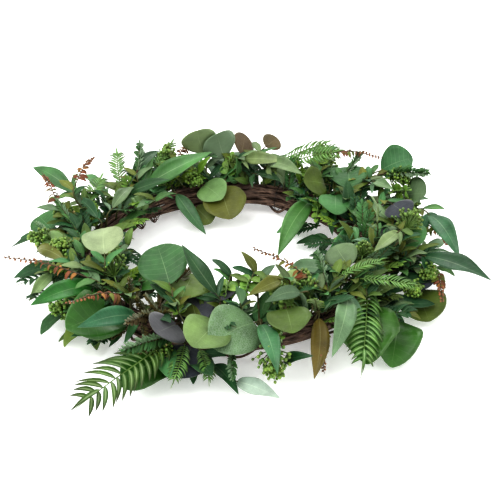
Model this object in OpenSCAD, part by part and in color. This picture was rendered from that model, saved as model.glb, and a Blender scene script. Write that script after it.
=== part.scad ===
// Artificial greenery wreath on a twisted vine ring, lying flat.
// Origin: axis of the ring, on the plane that the wreath rests on.  +Y is the back, +Z is up.
// Every spray is a set of rows.  A row places one leaf or sprig by where its stalk starts:
//   clock   angle round the ring, from +X towards +Y, degrees
//   out     distance from the ring's axis, mm
//   up      height above the table, mm
//   turn    plan direction, from straight outwards, anticlockwise, degrees
//   rise    angle above level, degrees
//   long    length from stalk to tip, mm
//   roll    turn about the piece's own length, degrees

/* [Vine ring] */
// Radius of the circle on which the vine bundle is centred
ring_r = 160; // [150:5:175]
// Radius of one vine
vine_r = 3; // [2.5:0.1:3]
// Spacing of the vines in the bundle
vine_pitch = 6.2; // [6.2:0.1:6.4]
// Overlap of each outer vine past halfway to its neighbour
press = 0.05; // [0.02:0.01:0.08]
// Number of turns of vine wrapped round the bundle
wrap_turns = 9; // [6:1:12]
// Radius of the wrapping vine
wrap_r = 2; // [1.5:0.1:2]
// Room between the bundle and the wrapping vine
wrap_gap = 0.4; // [0.2:0.1:1]
// Lean of the wrapping turns
wrap_lean = 12; // [0:1:15]
// Number of paddle wire ties
tie_count = 6; // [4:1:8]
// Radius of the paddle wire
tie_r = 0.4; // [0.3:0.05:0.5]

/* [Leaves] */
// Thickness of a leaf
leaf_t = 1; // [0.8:0.1:1.2]
// Width of a leaf stalk
stalk_w = 1.6; // [1.2:0.1:2]
// Length of a leaf stalk
stalk_l = 7; // [5:1:9]
// Width of a willow leaf over its length
willow_ratio = 0.25; // [0.2:0.01:0.3]
// Width of a round silver dollar leaf over its length
dollar_ratio = 0.92; // [0.8:0.01:1]
// Width of a broad leaf over its length
broad_ratio = 0.72; // [0.6:0.01:0.8]
// Width of an under leaf over its length
under_ratio = 0.34; // [0.3:0.01:0.45]

/* [Sprigs] */
// Radius of a sprig's wire stem
stem_r = 1; // [0.8:0.1:1.2]
// Leaflets on each side of a fern frond
fern_pairs = 13; // [8:1:16]
// Width of a fern frond over its length
fern_ratio = 0.36; // [0.25:0.01:0.4]
// Needles on each side of a rosemary sprig
rosemary_pairs = 9; // [6:1:12]
// Width of a rosemary sprig over its length
rosemary_ratio = 0.28; // [0.2:0.01:0.35]
// Berries in one head
berry_count = 11; // [7:1:15]
// Radius of a berry
berry_r = 2.6; // [2:0.1:3]
// Buds along a rust sprig
bud_count = 7; // [5:1:9]
// Radius of the largest bud
bud_r = 3; // [2:0.1:4]
// Pairs of leaves on a baby eucalyptus sprig
baby_pairs = 3; // [2:1:4]
// Radius of a baby eucalyptus leaf
baby_r = 6; // [4:0.5:7]

/* [Under leaves] */
// Angle between two under leaves
under_step = 10; // [8:1:15]
// Length of an outer under leaf
skirt_l = 70; // [50:5:80]
// Length of an inner under leaf
collar_l = 42; // [30:2:44]

/* [Hidden] */
SECTORS = ["right", "back_right", "back_left", "left", "front_left", "front_right"];
SECTOR_SPAN = 360 / len(SECTORS);
RING_PARTS = ["core_vines", "outer_vines", "wrap_vines", "tie_wires", "tendrils"];
SPRAYS = ["willow", "dollar", "plum", "broad", "under_leaves", "ferns",
          "berries", "rust_sprigs", "baby_eucalyptus", "rosemary"];
// Each set of stem wires serves two sectors
WIRE_SETS = ["right", "left", "front"];
BUNDLE_R = 2.5 * vine_pitch + press;
// The wrapping turns stand on the table
ring_z = BUNDLE_R + wrap_gap + 2 * wrap_r;
$fn = 32;

// Long lance-shaped eucalyptus leaves
WILLOW = [
    // right
    [10, 150, 50, -135, -5, 60, -20],
    [354, 170, 75, -120, 70, 50, -60],
    [5, 190, 60, 105, 0, 50, -15],
    [352, 195, 75, -115, 5, 60, -25],
    [12, 240, 55, -85, -5, 90, 10],
    [0, 225, 35, 45, -10, 45, 30],
    [350, 220, 50, -40, 10, 100, 25],
    [358, 170, 45, -130, 5, 70, -30],
    [20, 190, 40, 15, 0, 85, 5],
    // back right
    [30, 200, 70, -95, 15, 50, 25],
    [38, 160, 40, -130, -20, 50, 0],
    [34, 170, 50, -110, 0, 50, 10],
    [46, 150, 45, -165, -20, 100, -15],
    [60, 170, 45, -145, -10, 55, 5],
    [74, 170, 60, -130, 15, 75, 30],
    [80, 170, 45, -135, 15, 60, 25],
    [86, 180, 60, -120, 15, 70, 40],
    [54, 190, 40, 20, -5, 80, 0],
    // back left
    [106, 160, 45, -125, 60, 40, 50],
    [118, 150, 40, -170, -25, 75, 20],
    [130, 170, 45, -130, 30, 100, 45],
    [134, 180, 50, -75, 15, 70, 20],
    [138, 170, 45, -165, 30, 70, 50],
    [112, 190, 40, 15, -5, 80, 0],
    [142, 190, 40, -10, 0, 80, 5],
    // left
    [152, 150, 45, -105, 0, 45, 30],
    [156, 200, 60, -15, 10, 80, -30],
    [160, 150, 55, -95, 5, 60, 20],
    [166, 155, 50, -40, 5, 60, -25],
    [180, 190, 50, 65, 5, 45, -20],
    [192, 200, 30, 60, 0, 60, -15],
    [206, 190, 70, -70, -10, 60, -40],
    [172, 200, 30, 15, -5, 60, 0],
    // front left
    [212, 180, 70, -80, -5, 45, -30],
    [216, 170, 50, 15, 15, 95, -30],
    [220, 150, 50, -90, 0, 70, -25],
    [235, 185, 30, -10, 20, 70, -40],
    [240, 180, 50, -10, 20, 85, -40],
    [265, 190, 15, 35, 0, 60, 20],
    [268, 150, 65, -130, 40, 70, -25],
    // front right
    [272, 220, 15, 40, 15, 70, 35],
    [276, 160, 60, -20, 65, 45, -20],
    [282, 170, 50, 0, -5, 80, 10],
    [286, 200, 15, 35, 35, 50, 50],
    [296, 140, 75, -65, 10, 60, -30],
    [300, 165, 70, -75, 15, 60, -35],
    [304, 175, 45, -40, -20, 80, -5],
    [316, 180, 55, -60, -10, 90, -10],
    [322, 150, 65, -180, -25, 75, -45],
    [310, 175, 50, 160, 5, 60, -20]
];
// Round silver dollar eucalyptus leaves
DOLLAR = [
    // right
    [352, 205, 45, 95, 10, 55, 0],
    [346, 215, 15, -65, -5, 60, 10],
    [24, 225, 50, -75, 30, 50, 40],
    [349, 190, 40, -150, 5, 45, -20],
    // back right
    [36, 225, 65, -50, 30, 50, 45],
    [32, 170, 60, 55, 10, 50, 0],
    [44, 170, 55, 175, 25, 45, -40],
    [38, 165, 55, -130, -10, 45, 0],
    // back left
    [100, 190, 60, 150, 65, 50, -145],
    [92, 190, 50, 145, 70, 50, -125],
    [90, 180, 40, 10, 5, 45, -5],
    [104, 155, 40, -155, -5, 45, 25],
    [95, 150, 40, -170, -20, 60, 10],
    [110, 140, 20, -160, -15, 40, 20],
    // left
    [168, 180, 40, -50, 10, 40, -20],
    [172, 205, 40, -45, 5, 40, -25],
    [186, 175, 60, 40, 5, 40, -20],
    // front left
    [216, 160, 80, -120, 10, 50, -5],
    [248, 150, 70, -140, 20, 60, -15],
    [252, 155, 60, -175, 0, 55, 10],
    [260, 165, 45, -160, 0, 55, -5],
    [268, 170, 55, -25, 0, 55, -20],
    // front right
    [282, 170, 50, -60, 0, 65, -30],
    [292, 165, 60, -15, 0, 50, 5],
    [325, 165, 65, 150, 15, 40, -20],
    [305, 140, 50, 165, 5, 40, -10]
];
// Plum coloured round leaves
PLUM = [
    // right
    [350, 210, 35, 100, 5, 45, 0],
    [352, 210, 30, -70, -5, 45, 10],
    [358, 200, 50, 115, 5, 40, -10],
    [14, 195, 70, -80, 5, 40, 20],
    // back right
    [86, 190, 55, -5, 25, 40, 50],
    [78, 200, 65, -30, 10, 30, 30],
    // front left
    [264, 165, 45, -145, 5, 50, -20],
    [254, 170, 45, -10, 20, 50, -30],
    [260, 180, 30, -10, -5, 55, -10],
    [268, 160, 65, 175, 5, 30, -10]
];
// Broad dark leaves
BROAD = [
    // front left
    [234, 180, 45, -5, 15, 80, -30],
    [250, 190, 20, -10, 0, 70, -15],
    [226, 150, 45, 170, 5, 60, 0],
    // front right
    [324, 190, 35, -60, -10, 90, -5],
    [328, 220, 20, -70, -10, 75, -5]
];
// Fern fronds
FERNS = [
    // back right
    [64, 170, 65, -95, 25, 90, 45],
    [70, 180, 60, -80, 25, 80, 20],
    // back left
    [138, 180, 50, -40, 10, 80, -5],
    [124, 180, 50, -60, 20, 70, 10],
    // left
    [160, 180, 50, -80, 5, 80, 10],
    // front left
    [252, 180, 30, -15, 5, 165, -25],
    [257, 185, 30, 5, 0, 70, -10],
    [262, 190, 30, 20, 0, 60, -10],
    // front right
    [328, 180, 45, -65, -10, 130, -10],
    [324, 175, 60, 15, 5, 70, 10],
    [318, 160, 65, 60, 10, 60, 0]
];
// Heads of green seed berries
BERRIES = [
    // right
    [338, 160, 55, 100, 10, 35, 10],
    [345, 210, 25, -70, 10, 40, 5],
    [350, 225, 35, -70, 10, 35, 0],
    [352, 200, 70, 80, 0, 60, 20],
    [15, 205, 50, 20, 10, 40, 0],
    [26, 165, 45, 40, 15, 30, 0],
    // back right
    [44, 165, 45, 45, 15, 35, 5],
    [33, 175, 55, 65, 0, 35, 5],
    [50, 180, 65, 30, 0, 50, 10],
    [32, 220, 65, -70, 15, 50, 35],
    // back left
    [116, 180, 55, -20, 25, 40, -5],
    [108, 170, 45, -170, 10, 35, 0],
    // left
    [190, 190, 65, -10, 10, 40, -40],
    [170, 190, 50, -55, 10, 40, -20],
    [200, 175, 65, -20, 30, 35, 0],
    // front left
    [226, 165, 60, -120, 15, 60, -10],
    [248, 180, 25, 30, 10, 45, 10],
    [218, 195, 35, -20, 10, 40, 0],
    // front right
    [302, 170, 55, 160, 15, 50, 0],
    [296, 175, 55, -160, 20, 45, 0],
    [284, 190, 40, -10, -10, 60, 5]
];
// Rust coloured sprigs with curled tips
RUST = [
    // right
    [348, 240, 35, -80, -5, 60, 5],
    [8, 240, 45, -85, 5, 60, 5],
    // back right
    [54, 215, 70, -90, 10, 80, 40],
    // back left
    [112, 180, 65, -55, 10, 45, 20],
    // left
    [170, 200, 70, -55, 10, 70, -20],
    [162, 190, 85, -90, 10, 60, 10],
    // front left
    [220, 185, 70, -55, 5, 110, -40],
    [232, 170, 60, 0, 20, 95, -40],
    // front right
    [308, 155, 65, -150, 20, 85, -40],
    [302, 185, 35, -30, -20, 60, 0]
];
// Baby eucalyptus sprigs with small bright leaves
BABY = [
    // right
    [358, 200, 55, 75, 10, 45, 20],
    [24, 215, 60, -85, 30, 40, 50],
    // back right
    [40, 150, 45, -145, -10, 40, -10],
    [52, 180, 65, 30, 20, 40, 10],
    // back left
    [92, 160, 40, -20, 40, 35, 10],
    [145, 140, 50, 180, 20, 25, 0],
    // left
    [196, 150, 55, 160, 15, 30, 0],
    // front left
    [255, 170, 50, -140, 10, 45, -20],
    // front right
    [272, 150, 65, -170, 15, 30, -5],
    [280, 150, 70, 175, 10, 30, -5],
    [290, 170, 45, -20, 10, 40, 0],
    [322, 190, 50, 130, 10, 40, 0]
];
// Rosemary sprigs with narrow needles
ROSEMARY = [
    // right
    [352, 195, 50, 130, -5, 55, -30],
    // back right
    [32, 225, 70, -75, 20, 70, 40],
    [40, 185, 65, 20, 15, 50, 0],
    // back left
    [130, 180, 60, -40, 15, 60, 0],
    // left
    [186, 200, 60, -60, 5, 40, -30],
    [176, 180, 60, -50, 20, 45, 0],
    // front left
    [255, 180, 35, -30, 15, 80, -35],
    [244, 160, 50, 170, 20, 60, 0],
    [246, 170, 50, -10, 20, 55, -35],
    // front right
    [272, 190, 30, 0, 0, 50, 0],
    [312, 160, 60, 150, 20, 50, 0]
];

// Stretch at the front where the bundle shows below the leaves, degrees
SKIRT_GAP = [262, 312];
// Stretch at the back where the bundle shows inside the ring, degrees
COLLAR_GAP = [50, 160];
UNDER = concat(
    [for (a = [0:under_step:359]) if (a < SKIRT_GAP[0] || a > SKIRT_GAP[1])
        [a, 182, 12 + 5 * (a / under_step % 2), 28, 3 + 9 * (a / under_step % 3), skirt_l, 10]],
    [for (a = [5:under_step:359]) if (a < COLLAR_GAP[0] || a > COLLAR_GAP[1])
        [a, 136, 14 + 6 * floor(a / under_step) % 12, 158, -8, collar_l, -10]],
    [for (a = [3:under_step * 2:359])
        [a, 170, 43, 60 - 40 * floor(a / under_step) % 3, 24, 46, 5]]);

function sector_of(clock) = floor(((clock + SECTOR_SPAN / 2) % 360) / SECTOR_SPAN);
function rows(table, s) = [for (row = table) if (sector_of(row[0]) == s) row];
function spray_table(kind) =
    kind == "willow" ? WILLOW :
    kind == "dollar" ? DOLLAR :
    kind == "plum" ? PLUM :
    kind == "broad" ? BROAD :
    kind == "under_leaves" ? UNDER :
    kind == "ferns" ? FERNS :
    kind == "berries" ? BERRIES :
    kind == "rust_sprigs" ? RUST :
    kind == "baby_eucalyptus" ? BABY :
    ROSEMARY;
SPRAY_NODES = [for (kind = SPRAYS) for (s = [0:len(SECTORS) - 1])
    if (len(rows(spray_table(kind), s)) > 0) [str(kind, "_", SECTORS[s]), kind, s]];
WIRE_NODES = [for (i = [0:len(WIRE_SETS) - 1]) [str("stem_wires_", WIRE_SETS[i]), i]];

// Half the outline of a leaf: half its width at each station, from stalk to tip
LEAF_STATIONS = 9;
function half_leaf(long, wide, skew, full) = [for (i = [1:LEAF_STATIONS - 1])
    let (t = i / LEAF_STATIONS)
    [stalk_l + (long - stalk_l) * t, wide / 2 * pow(sin(180 * pow(t, skew)), full)]];
function flip(points) = [for (i = [len(points) - 1:-1:0]) [points[i][0], -points[i][1]]];

// Half the outline of a comb-like frond: narrow leaflets along a straight rib
function half_frond(long, wide, pairs) = [for (i = [0:pairs - 1])
    let (step = (long - stalk_l) / (pairs + 1), x = stalk_l + step * i,
         reach = wide / 2 * pow(sin(180 * (i + 1) / (pairs + 1.5)), 0.6))
    each [[x, stalk_w / 2], [x + step * 0.55 + reach * 0.35, reach], [x + step * 0.8, stalk_w / 2]]];

module place(row) {
    rotate(row[0])
        translate([row[1], 0, row[2]])
            rotate(row[3])
                rotate([0, -row[4], 0])
                    rotate([row[6], 0, 0])
                        children();
}

module leaf(long, ratio, skew, full) {
    half = half_leaf(long, long * ratio, skew, full);
    stalk = [[stalk_l, stalk_w / 2], [0, stalk_w / 2]];
    linear_extrude(leaf_t, center = true)
        polygon(concat([[0, -stalk_w / 2], [stalk_l, -stalk_w / 2]],
                       [for (p = half) [p[0], -p[1]]], [[long, 0]],
                       [for (i = [len(half) - 1:-1:0]) half[i]], stalk));
}

module frond(long, ratio, pairs) {
    half = half_frond(long, long * ratio, pairs);
    linear_extrude(leaf_t, center = true)
        polygon(concat([[0, -stalk_w / 2]], [for (p = half) [p[0], -p[1]]], [[long, 0]],
                       [for (i = [len(half) - 1:-1:0]) half[i]], [[0, stalk_w / 2]]));
}

module stem(long) {
    rotate([0, 90, 0])
        cylinder(h = long, r1 = stem_r, r2 = stem_r * 0.6);
}

// Berries on rays that leave the stem one after another, turned by the golden angle
module berry_head(long) {
    stem(long * 0.8);
    for (i = [0:berry_count - 1]) {
        share = i / (berry_count - 1);
        reach = long * (0.36 - 0.08 * share);
        translate([long * (0.35 + 0.42 * share), 0, 0])
            rotate([137.5 * i, 0, 0])
                rotate([0, 35 - 70 * share + 20, 0]) {
                    cylinder(h = reach, r = 0.5);
                    translate([0, 0, reach])
                        sphere(berry_r);
                }
    }
}

module rust_sprig(long) {
    stem(long);
    for (i = [0:bud_count - 1]) {
        share = i / bud_count;
        size = bud_r * (1 - 0.5 * share);
        side = i % 2 == 0 ? 0.6 : -0.6;
        translate([long * (0.35 + 0.55 * share), side * size, -0.4 * size])
            sphere(size);
    }
}

module baby_sprig(long) {
    stem(long * 0.9);
    for (i = [0:baby_pairs - 1]) {
        size = baby_r * (1 - 0.15 * i);
        for (side = [-1, 1])
            translate([long * (0.45 + 0.2 * i), side * size * 0.9, 0])
                cylinder(h = leaf_t, r = size, center = true);
    }
}

// Place of a vine in the hexagonal rings round the centre of the bundle
function vine_at(ring, index) =
    let (angle = 360 * index / max(1, 6 * ring), along = angle % 60, corner = angle - along,
         a = [cos(corner), sin(corner)], b = [cos(corner + 60), sin(corner + 60)])
    ring * vine_pitch * (a + (b - a) * along / 60);

module vine_ring(ring, count, r) {
    translate([0, 0, ring_z])
        rotate_extrude($fn = 96)
            for (i = [0:count - 1])
                translate([ring_r, 0] + vine_at(ring, i))
                    circle(r);
}

module loop_round_bundle(clock, lean, inner, r) {
    rotate(clock)
        translate([ring_r, 0, ring_z])
            rotate([90, 0, lean])
                rotate_extrude($fn = 64)
                    translate([inner + r, 0])
                        circle(r);
}

module core_vines() {
    color("saddlebrown") {
        vine_ring(0, 1, vine_r);
        vine_ring(1, 6, vine_r);
    }
}

// The outer vines are pressed into each other, so that they are one tube round the core
module outer_vines() {
    color("sienna")
        vine_ring(2, 12, vine_pitch / 2 + press);
}

module wrap_vines() {
    color("rosybrown")
        for (i = [0:wrap_turns - 1])
            loop_round_bundle(360 * (i + 0.5) / wrap_turns, wrap_lean, BUNDLE_R + wrap_gap, wrap_r);
}

module tie_wires() {
    color("dimgray")
        for (i = [0:tie_count - 1])
            loop_round_bundle(360 * i / tie_count + 7, 0, BUNDLE_R + 0.1, tie_r);
}

module tendrils() {
    color("peru")
        for (clock = [110, 133, 142, 304, 318])
            rotate(clock)
                translate([clock < 180 ? ring_r - BUNDLE_R - 8 : ring_r + BUNDLE_R + 8, 0, 18])
                    rotate([90, 0, 30])
                        rotate_extrude(angle = 300, $fn = 48)
                            translate([6, 0])
                                circle(0.8);
}

// Wire from the top or side of the vine bundle to where one stalk starts
module stem_wire(row) {
    dx = row[1] - ring_r;
    dz = row[2] - ring_z;
    far = norm([dx, dz]);
    start = BUNDLE_R + 0.5;
    if (far > start + 2)
        rotate(row[0])
            translate([ring_r, 0, ring_z])
                rotate([0, 90 - atan2(dz, dx), 0])
                    translate([0, 0, start])
                        cylinder(h = far - start, r = stem_r, $fn = 16);
}

module stem_wires(set) {
    color("olive")
        for (kind = SPRAYS, s = [2 * set, 2 * set + 1])
            if (kind != "under_leaves")
                for (row = rows(spray_table(kind), s))
                    stem_wire(row);
}

module spray(kind, s) {
    for (row = rows(spray_table(kind), s)) {
        if (kind == "willow")
            color("seagreen") place(row) leaf(row[5], willow_ratio, 0.8, 0.9);
        if (kind == "dollar")
            color("darkseagreen") place(row) leaf(row[5], dollar_ratio, 1, 0.5);
        if (kind == "plum")
            color("slategray") place(row) leaf(row[5], dollar_ratio, 1, 0.5);
        if (kind == "broad")
            color("darkgreen") place(row) leaf(row[5], broad_ratio, 0.85, 0.6);
        if (kind == "under_leaves")
            color("darkolivegreen") place(row) leaf(row[5], under_ratio, 0.85, 0.7);
        if (kind == "ferns")
            color("yellowgreen") place(row) frond(row[5], fern_ratio, fern_pairs);
        if (kind == "rosemary")
            color("olivedrab") place(row) frond(row[5], rosemary_ratio, rosemary_pairs);
        if (kind == "berries")
            color("limegreen") place(row) berry_head(row[5]);
        if (kind == "rust_sprigs")
            color("chocolate") place(row) rust_sprig(row[5]);
        if (kind == "baby_eucalyptus")
            color("palegreen") place(row) baby_sprig(row[5]);
    }
}

core_vines();
outer_vines();
wrap_vines();
tie_wires();
tendrils();
for (n = SPRAY_NODES)
    spray(n[1], n[2]);
for (n = WIRE_NODES)
    stem_wires(n[1]);
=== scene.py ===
"""Greenery wreath on a twisted vine ring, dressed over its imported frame."""
import logging
import math
import random
from dataclasses import dataclass
from enum import Enum
from typing import ClassVar

import bmesh
import bpy
import numpy as np
from mathutils import Matrix, Vector


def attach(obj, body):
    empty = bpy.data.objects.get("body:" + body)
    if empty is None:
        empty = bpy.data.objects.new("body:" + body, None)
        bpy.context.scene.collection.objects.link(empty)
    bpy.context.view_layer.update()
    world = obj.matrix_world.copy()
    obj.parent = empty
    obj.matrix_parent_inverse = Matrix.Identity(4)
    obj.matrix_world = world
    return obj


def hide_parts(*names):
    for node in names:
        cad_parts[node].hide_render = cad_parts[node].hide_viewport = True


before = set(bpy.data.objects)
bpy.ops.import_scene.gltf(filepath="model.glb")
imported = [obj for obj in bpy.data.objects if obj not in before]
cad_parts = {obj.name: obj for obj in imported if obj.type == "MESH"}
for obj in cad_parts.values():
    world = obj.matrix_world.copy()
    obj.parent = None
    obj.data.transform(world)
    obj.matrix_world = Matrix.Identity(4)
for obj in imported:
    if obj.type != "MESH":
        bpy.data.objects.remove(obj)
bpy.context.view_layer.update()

LOG = logging.getLogger("wreath")

MM = 0.001
# Corners nearer than this are one corner
WELD = 1e-5
# What comes lower than this is pressed flat on the table
REST_BAND = 1.0 * MM
# Change of every leaf colour: how much stronger and how much brighter
SATURATION = 1.12
GAIN = 1.14
# Clock angles with heather-like filling, and with no filling on top
HEATHER_SPAN = (218.0, 250.0)
OPEN_SPAN = (251.0, 286.0)
# Share of the other filling that is tufts, not leaves
TUFT_SHARE = 0.6
# Degrees of one sector, rows of filling in it, and where in each row the filling leaves the bundle:
# degrees up from its outermost line
SECTOR_SPAN = 60.0
FILLER_ROWS = 15
FILLER_SLOPES = (20.0, 75.0, 135.0)
# Wires longer than this carry small leaves
LEAFY_WIRE = 38.0 * MM
# Distance from the axis that parts the inner and outer side of the bare stretches
BARE_REACH = 160.0 * MM
# Bare stalk of a leaf
STALK = 7.0 * MM
GOLDEN_ANGLE = math.radians(137.5)
TURN = 2.0 * math.pi
SECTORS = ("right", "back_right", "back_left", "left", "front_left", "front_right")
UP = Vector((0.0, 0.0, 1.0))

Colour = tuple[float, float, float, float]
Materials = tuple[bpy.types.Material, ...]
Socket = bpy.types.NodeSocket


class Shade(Enum):
    """Leaf colours as linear red, green and blue, then how strongly the veins show."""

    MID = (0.055, 0.145, 0.062, 0.5)
    DEEP = (0.018, 0.064, 0.027, 0.4)
    TEAL = (0.042, 0.122, 0.068, 0.6)
    BRIGHT = (0.030, 0.150, 0.038, 0.6)
    PALE = (0.160, 0.240, 0.140, 0.4)
    GREY = (0.100, 0.180, 0.120, 0.5)
    FROST = (0.190, 0.275, 0.300, 0.3)
    OLIVE = (0.090, 0.120, 0.028, 0.4)
    LIME = (0.130, 0.230, 0.040, 0.4)
    RUSTY = (0.085, 0.080, 0.022, 0.4)
    SAGE = (0.130, 0.210, 0.095, 0.4)
    SMOKE = (0.090, 0.150, 0.095, 0.4)
    BEIGE = (0.195, 0.235, 0.150, 0.5)
    VEINED = (0.038, 0.115, 0.048, 1.0)
    NETTED = (0.085, 0.160, 0.100, 0.5)
    MOSS = (0.070, 0.120, 0.030, 0.3)
    PLUM = (0.017, 0.022, 0.036, 0.4)
    MAUVE = (0.038, 0.046, 0.068, 0.5)
    ASH = (0.110, 0.130, 0.170, 0.4)
    UMBER = (0.085, 0.070, 0.040, 0.5)
    BROAD = (0.030, 0.100, 0.020, 0.5)
    FERN = (0.060, 0.150, 0.036, 0.35)
    BRACKEN = (0.036, 0.088, 0.016, 0.4)
    RUST = (0.125, 0.050, 0.026, 0.4)
    AMBER = (0.165, 0.100, 0.040, 0.4)
    SEED = (0.080, 0.150, 0.032, 0.0)
    CREAM = (0.420, 0.430, 0.250, 0.0)
    SPROUT = (0.135, 0.255, 0.070, 0.4)
    HEATH = (0.085, 0.078, 0.032, 0.3)
    NEEDLE = (0.045, 0.120, 0.048, 0.3)

    def vary(self, rng: random.Random, spread: float = 0.16) -> Colour:
        """Gives the colour with a small random change of brightness and warmth, then the vein strength."""
        red, green, blue, vein = self.value
        bright = GAIN * (1.0 + rng.uniform(-spread, spread))
        warm = 1.14 + rng.uniform(-spread, spread) * 0.7
        grey = (red + green + blue) / 3.0
        strong = [max(grey + (value - grey) * SATURATION, 0.004) for value in (red, green, blue)]
        return strong[0] * bright * warm, strong[1] * bright, strong[2] * bright / (warm * 1.12), vein


@dataclass(frozen=True)
class Placement:
    """Where a leaf or sprig starts, where its tip is and which way its upper face looks."""

    base: Vector
    tip: Vector
    normal: Vector
    width: float

    @property
    def length(self) -> float:
        """Distance from base to tip."""
        return (self.tip - self.base).length

    @property
    def clock(self) -> float:
        """Angle of the base round the ring, in degrees."""
        return math.degrees(math.atan2(self.base.y, self.base.x)) % 360.0

    def matrix(self) -> Matrix:
        """Local frame: X along the piece, Y across it, Z out of its upper face."""
        along = (self.tip - self.base).normalized()
        across = self.normal.cross(along).normalized()
        out = along.cross(across)
        turn = Matrix((along, across, out)).transposed().to_4x4()
        return Matrix.Translation(self.base) @ turn


def spin(angle: float, axis: str) -> Matrix:
    """A turn about one local axis."""
    return Matrix.Rotation(angle, 4, axis)


def slide(along: float) -> Matrix:
    """A move along the local X axis."""
    return Matrix.Translation((along, 0.0, 0.0))


def looking(place: Vector, way: Vector) -> Matrix:
    """Frame of a lamp or camera that stands at a place and looks one way."""
    return Matrix.Translation(place) @ way.to_track_quat("-Z", "Y").to_matrix().to_4x4()


class FrameReader:
    """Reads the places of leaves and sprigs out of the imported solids."""

    STALK_REACH = 2.4 * MM

    def islands(self, node: str) -> list[np.ndarray]:
        """Gives the corner points of each separate solid of a node, in order round the ring."""
        bm = bmesh.new()
        bm.from_mesh(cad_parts[node].data)
        bmesh.ops.remove_doubles(bm, verts=bm.verts, dist=WELD)
        seen: set = set()
        groups = []
        for start in bm.verts:
            if start in seen:
                continue
            seen.add(start)
            waiting, points = [start], []
            while waiting:
                vert = waiting.pop()
                points.append(tuple(vert.co))
                for edge in vert.link_edges:
                    other = edge.other_vert(vert)
                    if other not in seen:
                        seen.add(other)
                        waiting.append(other)
            groups.append(np.array(points))
        bm.free()
        return sorted(groups, key=lambda g: round(math.atan2(g[:, 1].mean(), g[:, 0].mean()), 5))

    def plates(self, node: str) -> list[Placement]:
        """Reads the flat leaves of a node.

        Args:
            node: Name of a node whose solids are thin plates with a narrow stalk.

        Returns:
            One placement for each plate.
        """
        found = []
        for points in self.islands(node):
            gaps = np.linalg.norm(points[:, None] - points[None], axis=2)
            first, last = np.unravel_index(gaps.argmax(), gaps.shape)
            ends = [points[gaps[i] < self.STALK_REACH] for i in (first, last)]
            if len(ends[0]) < len(ends[1]):
                ends.reverse()
            base, tip = (Vector(end.mean(0)) for end in ends)
            spread = np.linalg.eigh(np.cov((points - points.mean(0)).T))[1]
            normal = Vector(spread[:, 0])
            if normal.dot(Vector((0.0, -0.2, 1.0))) < 0:
                normal.negate()
            across = np.array(normal.cross(tip - base).normalized())
            sides = points @ across
            found.append(Placement(base, tip, normal, float(sides.max() - sides.min())))
        return found

    def sprigs(self, node: str) -> list[Placement]:
        """Reads the sprigs of a node, each with a bare stem at its base.

        Args:
            node: Name of a node whose solids are stems with berries, buds or leaves.

        Returns:
            One placement for each sprig, with its upper side towards the sky.
        """
        found = []
        for points in self.islands(node):
            centre = points.mean(0)
            far = points[np.linalg.norm(points - centre, axis=1).argmax()]
            base = points[np.linalg.norm(points - far, axis=1) < self.STALK_REACH].mean(0)
            along = (centre - base) / np.linalg.norm(centre - base)
            reach = float(((points - base) @ along).max())
            off = (points - base) - np.outer((points - base) @ along, along)
            axis = Vector(along)
            normal = (UP - axis * UP.dot(axis)).normalized()
            wide = float(np.linalg.norm(off, axis=1).max()) * 2.0
            found.append(Placement(Vector(base), Vector(base + along * reach), normal, wide))
        return found


@dataclass(frozen=True)
class Ring:
    """The vine bundle's own sizes, read from its solids."""

    radius: float
    bundle: float
    height: float

    @classmethod
    def read(cls, reader: FrameReader) -> "Ring":
        """Measures the ring from the core and outer vines."""
        core = np.concatenate(reader.islands("core_vines"))
        outer = np.concatenate(reader.islands("outer_vines"))
        spans = [np.hypot(g[:, 0], g[:, 1]) for g in (core, outer)]
        middle = (spans[0].max() + spans[0].min()) / 2.0
        bundle = (spans[1].max() - spans[1].min()) / 2.0
        height = (outer[:, 2].max() + outer[:, 2].min()) / 2.0
        return cls(float(middle), float(bundle), float(height))

    def at(self, angle: float, out: float = 0.0, up: float = 0.0) -> Vector:
        """A point given by its angle in radians and its offsets from the bundle's middle."""
        reach = self.radius + out
        return Vector((reach * math.cos(angle), reach * math.sin(angle), self.height + up))


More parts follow.
